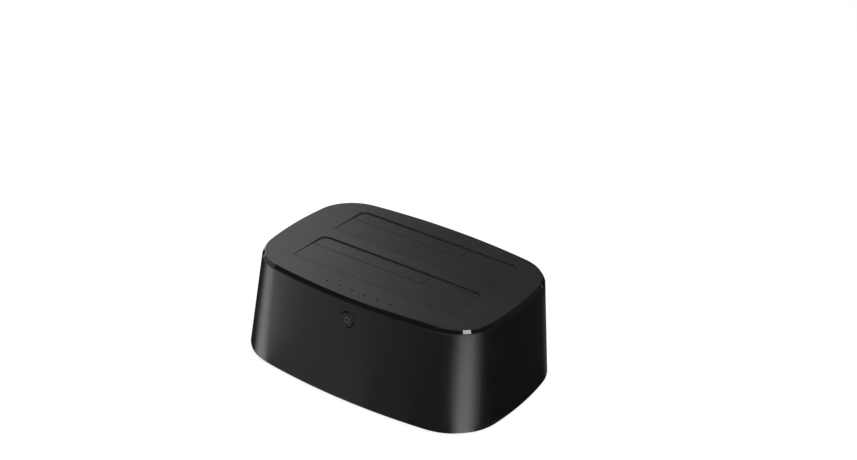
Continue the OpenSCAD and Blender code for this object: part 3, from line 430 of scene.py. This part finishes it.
# Finishes: two colours, two roughnesses, and for mouldings the grain's scale and its depth in metres.
SATIN_SHELL = moulding("satin_shell", (0.0055, 0.0055, 0.006), (0.0085, 0.0085, 0.009),
                       0.27, 0.33, 2600.0, 0.000003)
POLISHED_TRIM = moulding("polished_trim", (0.0016, 0.0016, 0.0018), (0.0026, 0.0026, 0.0028),
                         0.02, 0.045, 900.0, 0.0000006)
MATT_DECK = moulding("matt_deck", (0.009, 0.009, 0.0095), (0.014, 0.014, 0.0145),
                     0.40, 0.50, 3200.0, 0.000012, cloud=30.0, specular=0.3)
BUTTON_FACE = moulding("button_face", (0.006, 0.006, 0.0065), (0.010, 0.010, 0.0105),
                       0.30, 0.38, 2600.0, 0.000004)
PRINT_GREY = moulding("print_grey", (0.13, 0.13, 0.132), (0.18, 0.18, 0.183),
                      0.5, 0.6, 5000.0, 0.000002)
PLAIN_INNER = moulding("plain_inner", (0.008, 0.008, 0.0085), (0.016, 0.016, 0.0165),
                       0.42, 0.55, 1500.0, 0.000015)
BRIGHT_STEEL = metal("bright_steel", (0.42, 0.42, 0.43), (0.62, 0.62, 0.63), 0.22, 0.36)
GOLD_CONTACT = metal("gold_contact", (0.72, 0.46, 0.14), (0.85, 0.60, 0.24), 0.18, 0.30)
DRAWN_CAN = metal("drawn_can", (0.62, 0.62, 0.63), (0.78, 0.78, 0.80), 0.25, 0.38)
SOLDER_MASK = moulding("solder_mask", (0.004, 0.045, 0.022), (0.010, 0.085, 0.045),
                       0.22, 0.36, 1800.0, 0.000006, cloud=260.0)
CHIP_BODY = moulding("chip_body", (0.010, 0.010, 0.011), (0.022, 0.022, 0.023),
                     0.45, 0.6, 4200.0, 0.000010)
MILKY_LAMP = moulding("milky_lamp", (0.66, 0.65, 0.58), (0.78, 0.77, 0.70),
                      0.25, 0.35, 900.0, 0.000002)
# Light pipe: a clear part tinted dark, painted shade that keeps the pinholes dark.
PAINTED_SHADE_PIPE = moulding("painted_shade_pipe", (0.012, 0.013, 0.014), (0.022, 0.023, 0.025),
                        0.10, 0.18, 900.0, 0.000001, clear=0.85)
GREY_RIBBON = moulding("grey_ribbon", (0.34, 0.34, 0.35), (0.44, 0.44, 0.46),
                       0.5, 0.65, 1500.0, 0.00001)
NATURAL_NYLON = moulding("natural_nylon", (0.62, 0.58, 0.47), (0.72, 0.69, 0.58),
                         0.4, 0.55, 1200.0, 0.000008)
BLUE_INSERT = moulding("blue_insert", (0.008, 0.045, 0.26), (0.014, 0.065, 0.34),
                       0.35, 0.5, 1800.0, 0.000008)
FOOT_RUBBER = moulding("foot_rubber", (0.010, 0.010, 0.010), (0.022, 0.022, 0.022),
                       0.7, 0.85, 2200.0, 0.00002)


# Housing: flared shell with a rounded lower edge, the button's hole and the recessed port face.
TO_BACK = Matrix.Rotation(math.radians(90), 4, "X")


def port_block():
    """Block that the housing's cavity leaves standing behind the port face."""
    half, top = PORT_FACE_W / 2 + WALL_T, PORT_Z + PORT_FACE_H / 2 + WALL_T
    outline = box_outline(-half, BASE_TOP + PORT_GAP, half, top)
    return prism("port_block", outline, -BODY_D, WALL_T - PORT_Y, TO_BACK)


def port_cuts():
    """Recess of the port face and the openings for the data port, the switch and the power jack."""
    w, h, deep = PORT_FACE_W / 2, PORT_FACE_H / 2, PORT_CUT - PORT_Y
    outline = fillet(box_outline(-w, PORT_Z - h, w, PORT_Z + h), PORT_FACE_R)
    recess = prism("recess", outline, -BODY_D, -PORT_Y, TO_BACK)
    w, h = DATA_W / 2 + PORT_GAP, DATA_H / 2 + PORT_GAP
    outline = fillet(box_outline(DATA_X - w, PORT_Z - h, DATA_X + w, PORT_Z + h), DATA_R)
    data = prism("data", outline, -BODY_D, deep, TO_BACK)
    w, h = SWITCH_W / 2 + PORT_GAP, SWITCH_H / 2 + PORT_GAP
    outline = box_outline(SWITCH_X - w, PORT_Z - h, SWITCH_X + w, PORT_Z + h)
    switch = prism("switch", outline, -BODY_D, deep, TO_BACK)
    r = JACK_R + PORT_GAP
    jack = turned("jack", [(0, -BODY_D), (r, -BODY_D), (r, deep), (0, deep)],
                  Matrix.Translation((JACK_X, 0, PORT_Z)) @ TO_BACK)
    return recess, data, switch, jack


def button_place():
    return Matrix.Translation((0, BUTTON_Y, BUTTON_Z)) @ Matrix.Rotation(math.pi / 2 - WALL_TILT, 4, "X")


def button_bore():
    r = BUTTON_D / 2 + BUTTON_GAP
    edge = r + BORE_BREAK
    profile = [(0, -BORE_DEEP), (r, -BORE_DEEP), (r, BORE_LOW)]
    profile += [(edge, BORE_HIGH), (edge, BORE_END), (0, BORE_END)]
    return turned("bore", profile, button_place(), 64)


def housing():
    hem_in, hem_w = lean_at(FOOT_LIFT + HEM_H), HEM_W + HEM_TUCK
    hem = [(hem_in + hem_w * (1 - math.cos(t)), FOOT_LIFT + HEM_H * (1 - math.sin(t)))
           for t in [math.pi / 2 * k / 8 for k in range(8, -1, -1)]]
    wall = [(lean_at(z), z) for z in [FOOT_LIFT + HEM_H + WALL_STEP * k for k in range(1, 10)]]
    lip_z = RIM_Z - LIP_R
    lip = [(lean_at(lip_z) + LIP_R * (1 - math.cos(t)), lip_z + LIP_R * math.sin(t))
           for t in [math.pi / 2 * k / 5 for k in range(6)]]
    shell = plan_solid("housing_shell", hem + wall + lip)
    low, high = FOOT_LIFT - CAVITY_OVERCUT, RIM_Z + CAVITY_OVERCUT
    cavity = plan_solid("cavity", [(lean_at(low) + WALL_T, low), (lean_at(high) + WALL_T, high)])
    carve(cavity, port_block())
    step = WALL_LEAN + RIM_LIP
    carve(shell, cavity, plan_solid("rim_step", [(step, RIM_Z - RIM_STEP), (step, RIM_Z + OVERCUT)]))
    carve(shell, *port_cuts(), button_bore())
    fit(shell, "dock", "shell", SATIN_SHELL, "housing")


# Trim ring: polished bevel that carries the deck on its inner ledge.
def trim_ring():
    spigot, neck = WALL_LEAN + WALL_T + TRIM_GAP, WALL_LEAN + RIM_LIP + TRIM_GAP
    ledge, seat = TRIM_INNER + TRIM_LEDGE, RIM_Z - RIM_STEP + TRIM_GAP
    end = RIM_Z - TRIM_SPIGOT
    corners = [(WALL_LEAN, RIM_Z), (DECK_EDGE, BODY_H), (TRIM_INNER, BODY_H), (TRIM_INNER, DECK_Z)]
    corners += [(ledge, DECK_Z), (ledge, end), (spigot, end), (spigot, seat), (neck, seat), (neck, RIM_Z)]
    ring = ring_shell("trim_ring_band", fillet(corners, TRIM_ROUNDS))
    fit(ring, "dock", "trim", POLISHED_TRIM, "trim_ring", angle=TRIM_SHARP_ANGLE)


# Deck: textured plate with a row of pinholes and two bay openings, each with a lead-in at its rear edge.
def deck():
    plate = prism("deck_plate", plan(TRIM_INNER + TRIM_GAP), DECK_Z, BODY_H)
    for y0 in BAY_FRONT:
        rear = y0 + BAY_D
        hole = fillet(box_outline(-BAY_W / 2, y0, BAY_W / 2, rear), BAY_RADII, 10)
        carve(plate, prism("bay", hole, DECK_Z - OVERCUT, BODY_H + OVERCUT))
        side, front = BAY_W / 2 - LEAD_SIDE, y0 + LEAD_SIDE
        low = fillet(box_outline(-side, front, side, rear), BAY_RADII, 10)
        high = fillet(box_outline(-side, front, side, rear + 2 * LEAD_IN), BAY_RADII, 10)
        carve(plate, stacked("lead_in", [(low, BODY_H - LEAD_IN), (high, BODY_H + LEAD_IN)]))
    soften(plate, SOFT_EDGE, 3)
    lamp_y, r = DECK_EDGE + LAMP_BACK - BODY_D / 2, LAMP_D / 2
    edge = r + PINHOLE_BREAK
    low, high = DECK_Z - OVERCUT, BODY_H + OVERCUT
    pinhole = [(0, low), (r, low), (r, BODY_H - PINHOLE_BREAK), (edge, BODY_H), (edge, high), (0, high)]
    for k in range(LAMP_COUNT):
        place = Matrix.Translation(((k - (LAMP_COUNT - 1) / 2) * LAMP_PITCH, lamp_y, 0))
        carve(plate, turned("pinhole", pinhole, place, 32))
    boss = [(BOSS_BORE, EAR_Z), (EAR_R, EAR_Z), (EAR_R, DECK_Z), (BOSS_BORE, DECK_Z)]
    bosses = [turned("boss", boss, Matrix.Translation((x, y, 0)), 32, closed=True)
              for x in (-EAR_X, EAR_X) for y in EAR_Y]
    weld_into(plate, *bosses)
    fit(plate, "dock", "deck", MATT_DECK, "deck")


# Doors and flaps, made flat in the bay's leaf plane: X along the bay, Y rearwards, Z up from the leaf.
def leaf_place(bay):
    """Place of a bay's leaf plane, which falls a little towards the rear."""
    return Matrix.Translation((0, BAY_FRONT[bay] + LEAF_GAP, BODY_H)) @ Matrix.Rotation(-SLOPE, 4, "X")


def barrel(x0, x1, y, z, place):
    """Hinge barrel along X with broken edges."""
    end = BARREL_R - BARREL_BREAK
    rim = [(BARREL_BORE, x0), (end, x0), (BARREL_R, x0 + BARREL_BREAK), (BARREL_R, x1 - BARREL_BREAK),
           (end, x1), (BARREL_BORE, x1)]
    along_x = Matrix.Translation((0, y, z)) @ Matrix.Rotation(math.pi / 2, 4, "Y")
    return turned("barrel", rim, place @ along_x, 32, closed=True)


def knuckle(x, place):
    """Arm under a door with the barrel that its pin runs through."""
    low, high, top = -DOOR_DEEP - ARM_T / 2, -DOOR_DEEP + ARM_T / 2, -LEAF_T + ARM_IN
    corners = [(-DOOR_BACK, low), (ARM_T, low), (ARM_T, top), (0, top), (0, high), (-DOOR_BACK, high)]
    along_x = Matrix(((0, 0, 1, 0), (1, 0, 0, 0), (0, 1, 0, 0), (0, 0, 0, 1)))
    arm = prism("arm", fillet(corners, ARM_ROUNDS, 4), x, x + KNUCKLE_W, place @ along_x)
    weld_into(arm, barrel(x, x + KNUCKLE_W, -DOOR_BACK, -DOOR_DEEP, place))
    return arm


def bay_door(bay, node):
    place = leaf_place(bay)
    x1, rear = BAY_W / 2 - LEAF_GAP, LEAF_RUN - LEAF_GAP
    left, front = FLAP_RIGHT + LEAF_GAP, SPLIT_U - LEAF_GAP
    corners = [(-x1, -DOOR_SEAM), (x1, -DOOR_SEAM), (x1, rear), (left, rear), (left, front), (-x1, front)]
    outline = fillet(corners, [LEAF_R, LEAF_R, BAY_CORNER_R - LEAF_GAP, LEAF_R, LEAF_R, LEAF_R], 8)
    leaf = prism(node + "_leaf", outline, -LEAF_T, 0, place)
    soften(leaf, SOFT_EDGE, 3)
    corners = box_outline(FLAP_RIGHT + TIP_INSET, rear - WELD_IN, x1 - TIP_INSET, DOOR_TIP_U)
    tip = prism("tip", fillet(corners, [0, 0, TIP_R, TIP_R]), -LEAF_T, -TUCK_STEP, place)
    starts = (-x1 + KNUCKLE_INSET, -KNUCKLE_W / 2, x1 - KNUCKLE_INSET - KNUCKLE_W)
    weld_into(leaf, tip, *[knuckle(x, place) for x in starts])
    fit(leaf, node, "deck", MATT_DECK, node)


def bay_flap(bay, node):
    place = leaf_place(bay)
    a, b = SPRING_X - SPRING_ROOM / 2, SPRING_X + SPRING_ROOM / 2
    rear = LEAF_RUN - LEAF_GAP
    corners = box_outline(FLAP_LEFT, SPLIT_U, FLAP_RIGHT, rear)
    outline = fillet(corners, [LEAF_R, LEAF_R, LEAF_R, BAY_CORNER_R - LEAF_GAP], 8)
    leaf = prism(node + "_leaf", outline, -LEAF_T, 0, place)
    soften(leaf, SOFT_EDGE, 3)
    tails = []
    for x0, x1 in ((FLAP_LEFT + TAIL_INSET, a), (b, FLAP_RIGHT - TAIL_INSET)):
        outline = box_outline(x0, rear - WELD_IN, x1, FLAP_AXIS_U)
        tails.append(prism("tail", outline, -LEAF_T + TAIL_THIN, -TUCK_STEP, place))
    outline = box_outline(a - WELD_IN, rear - WELD_IN, b + WELD_IN, FLAP_AXIS_U - SPRING_POCKET)
    tails.append(prism("tail", outline, -LEAF_T + 2 * TAIL_THIN, -TUCK_STEP - TAIL_THIN, place))
    start = SPLIT_U + TAB_START
    outline = box_outline(FLAP_LEFT - TAB_W, start, FLAP_LEFT + TAB_IN, start + TAB_L)
    tab = prism("tab", outline, -LEAF_T + TAB_THIN, -TUCK_STEP - 2 * TAB_THIN, place)
    soften(tab, TAB_EDGE)
    weld_into(leaf, tab, *tails, barrel(FLAP_LEFT, a, FLAP_AXIS_U, -FLAP_DEEP, place),
              barrel(b, FLAP_RIGHT, FLAP_AXIS_U, -FLAP_DEEP, place))
    fit(leaf, node, "deck", MATT_DECK, node)


# Button: round cap with a rounded rim, a holding flange and a stem, and a printed on-off sign.
def button():
    r, flange = BUTTON_D / 2, BUTTON_D / 2 + BUTTON_FLANGE
    side, top, end = r - CAP_SHRINK, -WALL_T - FLANGE_TOP, -WALL_T - FLANGE_END
    profile = [(0, BUTTON_PROUD - DISH_LOW), (r - DISH_START, BUTTON_PROUD - DISH_RISE)]
    profile.append((r - DISH_END, BUTTON_PROUD))
    profile += [(side - CAP_RIM * (1 - math.sin(t)), BUTTON_PROUD - CAP_RIM * (1 - math.cos(t)))
                for t in [math.pi / 2 * k / 6 for k in range(7)]]
    profile += [(side, top), (flange, top), (flange, end), (STEM_R, end)]
    profile += [(STEM_R, -STEM_END + STEM_BREAK), (STEM_R - STEM_BREAK, -STEM_END), (0, -STEM_END)]
    cap = turned("button_body", profile, button_place(), 72)
    fit(cap, "button", "button", BUTTON_FACE, "button_cap")
    turns = [math.radians(SIGN_FROM + SIGN_SWEEP * k / SIGN_STEPS) for k in range(SIGN_STEPS + 1)]
    inner = SIGN_R - SIGN_LINE
    arc = [(SIGN_R * math.cos(t), SIGN_R * math.sin(t)) for t in turns]
    arc += [(inner * math.cos(t), inner * math.sin(t)) for t in reversed(turns)]
    low = BUTTON_PROUD - SIGN_SINK
    sign = prism("button_sign", arc, low, low + SIGN_T, button_place())
    bar = box_outline(-BAR_W / 2, BAR_LOW, BAR_W / 2, BAR_HIGH)
    weld_into(sign, prism("bar", bar, low, low + SIGN_T, button_place()))
    fit(sign, "button", "button", PRINT_GREY)


housing()
trim_ring()
deck()
for number, name in enumerate(("front", "rear")):
    bay_door(number, name + "_door")
    bay_flap(number, name + "_flap")
button()


# Solids whose shape is right keep it and get their finish, with their edges broken where they show.
def dress(material, *nodes, edge=0.0):
    for node in nodes:
        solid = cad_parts[node]
        solid.data.materials.clear()
        solid.data.materials.append(material)
        join = solid.modifiers.new("join", "WELD")
        join.merge_threshold = JOIN_DISTANCE
        if edge:
            broken = solid.modifiers.new("broken edge", "BEVEL")
            broken.width = edge * MM
            broken.segments = 2
            broken.limit_method = "ANGLE"
            broken.angle_limit = math.radians(EDGE_ANGLE)
            broken.use_clamp_overlap = True
        solid.data.shade_smooth()
        solid.data.set_sharp_from_angle(angle=math.radians(SHARP_ANGLE))


dress(SATIN_SHELL, "base_plate")
dress(PLAIN_INNER, "drive_cage", "tact_switch")
dress(PLAIN_INNER, "front_connector", "rear_connector", "power_jack", "switch_frame", edge=0.15)
dress(BUTTON_FACE, "switch_rocker", edge=0.15)
dress(BRIGHT_STEEL, "door_pins", "flap_pins", "front_door_springs", "front_flap_spring", "rear_door_springs",
      "rear_flap_spring", "power_jack_pin", "case_screws", "cage_screws", "board_screws")
dress(BRIGHT_STEEL, "data_port_shell", edge=0.12)
dress(SOLDER_MASK, "main_board", "front_board")
dress(GOLD_CONTACT, "connector_contacts")
dress(CHIP_BODY, "bridge_chip", "inductors", edge=0.12)
dress(DRAWN_CAN, "capacitors", edge=0.3)
dress(MILKY_LAMP, "lamps", "tact_plunger", edge=0.1)
# The light pipe's dark tint is painted shade in the pinholes.
dress(PAINTED_SHADE_PIPE, "light_pipe")
dress(GREY_RIBBON, "ribbon_cable")
dress(NATURAL_NYLON, "cable_headers", edge=0.15)
dress(BLUE_INSERT, "data_port_insert", edge=0.12)
dress(FOOT_RUBBER, "rubber_feet", edge=0.2)


# Stage: pale floor, soft lights, a dim room and the camera of the photograph.
FLOOR_SIZE, FLOOR_GREY, FLOOR_GLOW, ROOM_LEVEL = 15.0, 0.2, 0.9, 0.12
CARD_HEIGHT, CARD_STEP, BLACK_HEIGHT, BLACK_LEVEL = 0.0006, 0.0002, 0.0003, 0.02
SOFTBOX_AIM = Vector((0.0, 0.0, 0.035))
CAMERA_TURN, CAMERA_RISE, CAMERA_ROLL = math.radians(31.688), math.radians(27.89), math.radians(3.539)
CAMERA_PLACE, CAMERA_LENS = (0.42421, -0.663272, 0.497235), 70.11


def floor():
    bm = bmesh.new()
    bmesh.ops.create_grid(bm, x_segments=8, y_segments=8, size=FLOOR_SIZE)
    mesh = bpy.data.meshes.new("floor")
    bm.to_mesh(mesh)
    bm.free()
    ground = bpy.data.objects.new("floor", mesh)
    bpy.context.scene.collection.objects.link(ground)
    material = bpy.data.materials.new("white_floor")
    material.use_nodes = True
    tree = material.node_tree
    tree.nodes.clear()
    n, link = tree.nodes, tree.links.new
    path = n.new("ShaderNodeLightPath")
    seen = n.new("ShaderNodeMath")
    seen.operation = "MAXIMUM"
    link(path.outputs["Is Camera Ray"], seen.inputs[0])
    link(path.outputs["Is Glossy Ray"], seen.inputs[1])
    shown = n.new("ShaderNodeMath")
    shown.operation = "MAXIMUM"
    link(seen.outputs[0], shown.inputs[0])
    link(path.outputs["Is Transmission Ray"], shown.inputs[1])
    paper = n.new("ShaderNodeBsdfDiffuse")
    paper.inputs["Color"].default_value = (FLOOR_GREY, FLOOR_GREY, FLOOR_GREY, 1)
    glow = n.new("ShaderNodeEmission")
    level = n.new("ShaderNodeMath")
    level.operation = "MULTIPLY"
    level.inputs[1].default_value = FLOOR_GLOW
    link(shown.outputs[0], level.inputs[0])
    link(level.outputs[0], glow.inputs["Strength"])
    both = n.new("ShaderNodeAddShader")
    link(paper.outputs[0], both.inputs[0])
    link(glow.outputs[0], both.inputs[1])
    out = n.new("ShaderNodeOutputMaterial")
    link(both.outputs[0], out.inputs["Surface"])
    mesh.materials.append(material)


def softbox(name, azimuth, elevation, distance, width, height, watts):
    """Area light on a sphere round the object, facing it."""
    lamp = bpy.data.lights.new(name, "AREA")
    lamp.shape = "RECTANGLE"
    lamp.size, lamp.size_y = width, height
    lamp.energy = watts
    obj = bpy.data.objects.new(name, lamp)
    a, e = math.radians(azimuth), math.radians(elevation)
    away = Vector((math.cos(a) * math.cos(e), math.sin(a) * math.cos(e), math.sin(e)))
    obj.location = SOFTBOX_AIM + away * distance
    obj.rotation_euler = away.to_track_quat("Z", "Y").to_euler()
    obj.visible_camera = False
    bpy.context.scene.collection.objects.link(obj)


def gloss_card(name, outline, height, level):
    """Flat card just over the floor that shows only in gloss, at its own level of light."""
    bm = bmesh.new()
    bm.faces.new([bm.verts.new((x, y, height)) for x, y in outline])
    mesh = bpy.data.meshes.new(name)
    bm.to_mesh(mesh)
    bm.free()
    sheet = bpy.data.objects.new(name, mesh)
    bpy.context.scene.collection.objects.link(sheet)
    material = bpy.data.materials.new(name)
    material.use_nodes = True
    tree = material.node_tree
    tree.nodes.clear()
    glow = tree.nodes.new("ShaderNodeEmission")
    glow.inputs["Strength"].default_value = level
    out = tree.nodes.new("ShaderNodeOutputMaterial")
    tree.links.new(glow.outputs[0], out.inputs["Surface"])
    mesh.materials.append(material)
    sheet.visible_camera = sheet.visible_diffuse = sheet.visible_transmission = sheet.visible_shadow = False


def fan(x, y, azimuth, half, near, far):
    """Outline of a sector that spreads from a corner of the housing."""
    turns = [math.radians(azimuth - half + 2 * half * k / 8) for k in range(9)]
    outer = [(x + far * math.cos(t), y + far * math.sin(t)) for t in turns]
    return outer + [(x + near * math.cos(t), y + near * math.sin(t)) for t in reversed(turns)]


floor()
BLACK_CARD = [(-0.7, 0.4), (-0.7, -0.8), (0.9, -0.8), (0.9, 3.0), (0.0, 3.0), (0.0, -0.02), (-0.07, -0.02),
              (-0.07, 0.4)]
gloss_card("black_card", BLACK_CARD, BLACK_HEIGHT, BLACK_LEVEL)

# Reflectors: name, corner x and y, azimuth, half width, near and far end, and (share of width, level) steps.
REFLECTORS = (
    ("front_left", 0.069, 0.049, -129, 12, 0.05, 0.42, ((1.0, 0.45),)),
    ("front_middle", 0.069, 0.049, -111, 6, 0.05, 0.42, ((1.0, 0.26),)),
    ("front_right", 0.069, 0.049, -92, 13, 0.05, 0.42, ((1.0, 0.15),)),
    ("right_edge", 0.073, 0.0, 93, 12, 0.02, 0.13, ((1.0, 0.15),)),
    ("left_rim", -0.07, -0.03, 140, 11, 0.11, 0.32, ((1.0, 1.2),)),
    ("right_corner", 0.058, -0.0365, -29, 32, 0.004, 0.22, ((1.0, 0.7), (0.72, 1.7), (0.42, 3.1))),
    ("left_corner", -0.0474, -0.0485, -159, 23, 0.004, 0.22, ((1.0, 0.7), (0.75, 1.5), (0.45, 2.3))))
for name, x, y, azimuth, half, near, far, steps in REFLECTORS:
    for k, (share, level) in enumerate(steps):
        outline = fan(x, y, azimuth, half * share, near, far)
        gloss_card(f"{name}_card_{k}", outline, CARD_HEIGHT + CARD_STEP * k, level)

# Softboxes: name, azimuth, elevation, distance, width, height and watts.
SOFTBOXES = (
    ("top_softbox", 60, 78, 1.1, 0.7, 0.7, 5.0),
    ("rear_softbox", 152, 33, 0.40, 0.3, 0.2, 0.42),
    ("front_softbox", -75, 62, 1.1, 0.8, 0.5, 3.0),
    ("corner_softbox", -29, 34, 1.0, 0.26, 0.3, 2.5),
    ("left_softbox", -162, 10, 1.0, 0.6, 0.35, 0.33),
    ("rim_softbox", -20, 14, 1.0, 0.6, 0.12, 0.45))
for values in SOFTBOXES:
    softbox(*values)

room = bpy.data.worlds.new("room")
room.use_nodes = True
room.node_tree.nodes["Background"].inputs["Color"].default_value = (1, 1, 1, 1)
room.node_tree.nodes["Background"].inputs["Strength"].default_value = ROOM_LEVEL
bpy.context.scene.world = room
bpy.context.scene.view_settings.view_transform = "Standard"


def camera():
    eye = bpy.data.cameras.new("camera")
    eye.sensor_fit = "HORIZONTAL"
    eye.sensor_width = 36.0
    eye.lens = CAMERA_LENS
    eye.clip_start = 0.01
    eye.clip_end = 60.0
    obj = bpy.data.objects.new("camera", eye)
    a, e, roll = CAMERA_TURN, CAMERA_RISE, CAMERA_ROLL
    right = Vector((math.cos(a), math.sin(a), 0))
    back = Vector((math.sin(a) * math.cos(e), -math.cos(a) * math.cos(e), math.sin(e)))
    up = back.cross(right)
    across = right * math.cos(roll) + up * math.sin(roll)
    upward = up * math.cos(roll) - right * math.sin(roll)
    turn = Matrix((across, upward, back)).transposed().to_4x4()
    obj.matrix_world = Matrix.Translation(CAMERA_PLACE) @ turn
    bpy.context.scene.collection.objects.link(obj)
    bpy.context.scene.camera = obj


camera()
